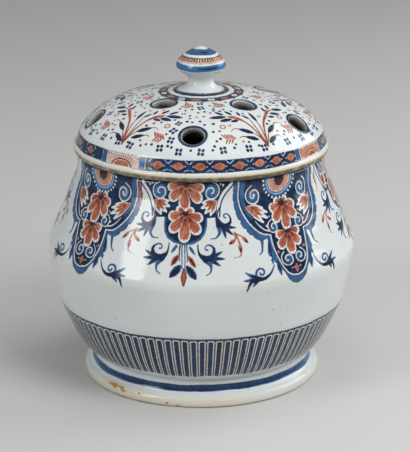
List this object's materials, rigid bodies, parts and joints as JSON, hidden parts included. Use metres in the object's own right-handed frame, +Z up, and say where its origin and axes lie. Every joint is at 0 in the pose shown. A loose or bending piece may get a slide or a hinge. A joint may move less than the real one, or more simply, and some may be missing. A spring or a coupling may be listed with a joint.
{
  "type": "potpourri vase",
  "caption": "Waisted earthenware jar on a flared foot ring, with a lift-off domed lid that is pierced with vents and carries a turned knob.",
  "frame": {"origin": "centre of the foot ring's sole, where the jar stands", "axes": "+Z up the axis of the jar, the front of the painted pattern faces -Y"},
  "size_m": [0.2036, 0.2036, 0.2201],
  "materials": {
    "glazed_foot": "glossy tin glaze with a blue band, worn to buff clay at the edge",
    "painted_jar": "glossy off-white tin glaze painted in cobalt blue and iron red",
    "painted_lid": "glossy off-white tin glaze painted in cobalt blue and iron red",
    "bare_flange": "buff earthenware under a thin wash of glaze",
    "painted_knob": "glossy off-white tin glaze with painted rings"
  },
  "bodies": {
    "jar": {"jar_body": "painted_jar", "foot_ring": "glazed_foot"},
    "lid": {"lid_dome": "painted_lid", "lid_flange": "bare_flange", "lid_knob": "painted_knob"}
  },
  "joints": [
    {"name": "lid_lift", "type": "slide", "parent": "jar", "child": "lid", "axis": [0, 0, 1], "range_m": [0, 0.15]}
  ]
}
